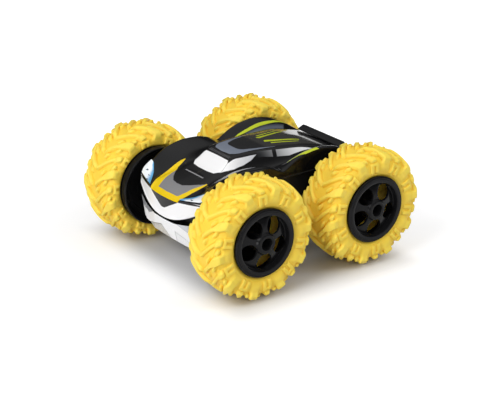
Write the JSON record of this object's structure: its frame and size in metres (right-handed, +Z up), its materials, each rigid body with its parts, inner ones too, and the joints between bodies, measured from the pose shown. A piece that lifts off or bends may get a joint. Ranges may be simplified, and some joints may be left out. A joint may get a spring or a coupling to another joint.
{
  "type": "rc stunt car",
  "caption": "Double-sided remote control stunt car with a low black body between lugged balloon tyres and a geared drive on each side.",
  "frame": {"origin": "on the ground under the middle of the car", "axes": "+Z up, -Y towards the nose, +X towards the car's left side"},
  "size_m": [0.1876, 0.201, 0.095],
  "materials": {
    "gloss_black": "polished",
    "black_plastic": "satin",
    "white_plastic": "gloss",
    "yellow_rubber": "matt",
    "steel": "plain",
    "brass": "plain",
    "nylon": "moulded",
    "motor_can": "drawn",
    "lens": "clear",
    "contact": "plated",
    "cell_sleeve": "printed sleeve",
    "board": "lacquered"
  },
  "bodies": {
    "body": {"front_left_bush": "brass", "front_right_bush": "brass", "rear_left_bush": "brass", "rear_right_bush": "brass", "left_motor": "motor_can", "left_gearbox_plate": "black_plastic", "headlight_left": "lens", "battery_contact_left": "contact", "right_motor": "motor_can", "right_gearbox_plate": "black_plastic", "headlight_right": "lens", "battery_contact_right": "contact", "battery_cell_1": "cell_sleeve", "shell_screw_1": "steel", "battery_cell_2": "cell_sleeve", "shell_screw_2": "steel", "battery_cell_3": "cell_sleeve", "shell_screw_3": "steel", "battery_cell_4": "cell_sleeve", "shell_screw_4": "steel", "chassis": "black_plastic", "upper_shell": "gloss_black", "lower_shell": "white_plastic", "spoiler": "black_plastic", "circuit_board": "board", "battery_door": "white_plastic", "door_screw": "steel"},
    "front_left_wheel": {"front_left_tyre": "yellow_rubber", "front_left_rim": "black_plastic", "front_left_rim_back": "black_plastic", "front_left_axle": "steel", "front_left_axle_gear": "nylon", "front_left_wheel_screw": "steel"},
    "front_left_idler_gear": {"front_left_idler": "nylon"},
    "front_right_wheel": {"front_right_tyre": "yellow_rubber", "front_right_rim": "black_plastic", "front_right_rim_back": "black_plastic", "front_right_axle": "steel", "front_right_axle_gear": "nylon", "front_right_wheel_screw": "steel"},
    "front_right_idler_gear": {"front_right_idler": "nylon"},
    "rear_left_wheel": {"rear_left_tyre": "yellow_rubber", "rear_left_rim": "black_plastic", "rear_left_rim_back": "black_plastic", "rear_left_axle": "steel", "rear_left_axle_gear": "nylon", "rear_left_wheel_screw": "steel"},
    "rear_left_idler_gear": {"rear_left_idler": "nylon"},
    "rear_right_wheel": {"rear_right_tyre": "yellow_rubber", "rear_right_rim": "black_plastic", "rear_right_rim_back": "black_plastic", "rear_right_axle": "steel", "rear_right_axle_gear": "nylon", "rear_right_wheel_screw": "steel"},
    "rear_right_idler_gear": {"rear_right_idler": "nylon"},
    "left_centre": {"left_centre_gear": "nylon"},
    "left_motor_pinion": {"left_pinion": "brass"},
    "right_centre": {"right_centre_gear": "nylon"},
    "right_motor_pinion": {"right_pinion": "brass"},
    "switch_knob": {"power_switch": "black_plastic"}
  },
  "joints": [
    {"name": "front_left_wheel_spin", "type": "hinge", "parent": "body", "child": "front_left_wheel", "pos_m": [0.07275, -0.053, 0.0475], "axis": [1, 0, 0], "continuous": true},
    {"name": "front_left_idler_spin", "type": "hinge", "parent": "body", "child": "front_left_idler_gear", "pos_m": [0.0359, -0.02473, 0.0475], "axis": [1, 0, 0], "continuous": true},
    {"name": "rear_left_wheel_spin", "type": "hinge", "parent": "body", "child": "rear_left_wheel", "pos_m": [0.07275, 0.053, 0.0475], "axis": [1, 0, 0], "continuous": true},
    {"name": "rear_left_idler_spin", "type": "hinge", "parent": "body", "child": "rear_left_idler_gear", "pos_m": [0.0359, 0.02473, 0.0475], "axis": [1, 0, 0], "continuous": true},
    {"name": "left_centre_gear_spin", "type": "hinge", "parent": "body", "child": "left_centre", "pos_m": [0.0336, 0, 0.0475], "axis": [1, 0, 0], "continuous": true},
    {"name": "left_pinion_spin", "type": "hinge", "parent": "body", "child": "left_motor_pinion", "pos_m": [0.0308, -0.01561, 0.06155], "axis": [1, 0, 0], "continuous": true},
    {"name": "front_right_wheel_spin", "type": "hinge", "parent": "body", "child": "front_right_wheel", "pos_m": [-0.07275, -0.053, 0.0475], "axis": [1, 0, 0], "continuous": true},
    {"name": "front_right_idler_spin", "type": "hinge", "parent": "body", "child": "front_right_idler_gear", "pos_m": [-0.0359, -0.02473, 0.0475], "axis": [1, 0, 0], "continuous": true},
    {"name": "rear_right_wheel_spin", "type": "hinge", "parent": "body", "child": "rear_right_wheel", "pos_m": [-0.07275, 0.053, 0.0475], "axis": [1, 0, 0], "continuous": true},
    {"name": "rear_right_idler_spin", "type": "hinge", "parent": "body", "child": "rear_right_idler_gear", "pos_m": [-0.0359, 0.02473, 0.0475], "axis": [1, 0, 0], "continuous": true},
    {"name": "right_centre_gear_spin", "type": "hinge", "parent": "body", "child": "right_centre", "pos_m": [-0.0336, 0, 0.0475], "axis": [1, 0, 0], "continuous": true},
    {"name": "right_pinion_spin", "type": "hinge", "parent": "body", "child": "right_motor_pinion", "pos_m": [-0.0308, 0.01561, 0.06155], "axis": [1, 0, 0], "continuous": true},
    {"name": "power_switch_slide", "type": "slide", "parent": "body", "child": "switch_knob", "axis": [0, 1, 0], "range_m": [0, 0.003]}
  ],
  "couplings": [
    {"joint": "front_left_idler_spin", "follows": "front_left_wheel_spin", "ratio": -1},
    {"joint": "rear_left_idler_spin", "follows": "front_left_wheel_spin", "ratio": -1},
    {"joint": "rear_left_wheel_spin", "follows": "front_left_wheel_spin", "ratio": 1},
    {"joint": "left_centre_gear_spin", "follows": "front_left_wheel_spin", "ratio": 1.3333},
    {"joint": "left_pinion_spin", "follows": "front_left_wheel_spin", "ratio": -3.3333},
    {"joint": "front_right_idler_spin", "follows": "front_right_wheel_spin", "ratio": -1},
    {"joint": "rear_right_idler_spin", "follows": "front_right_wheel_spin", "ratio": -1},
    {"joint": "rear_right_wheel_spin", "follows": "front_right_wheel_spin", "ratio": 1},
    {"joint": "right_centre_gear_spin", "follows": "front_right_wheel_spin", "ratio": 1.3333},
    {"joint": "right_pinion_spin", "follows": "front_right_wheel_spin", "ratio": -3.3333}
  ]
}
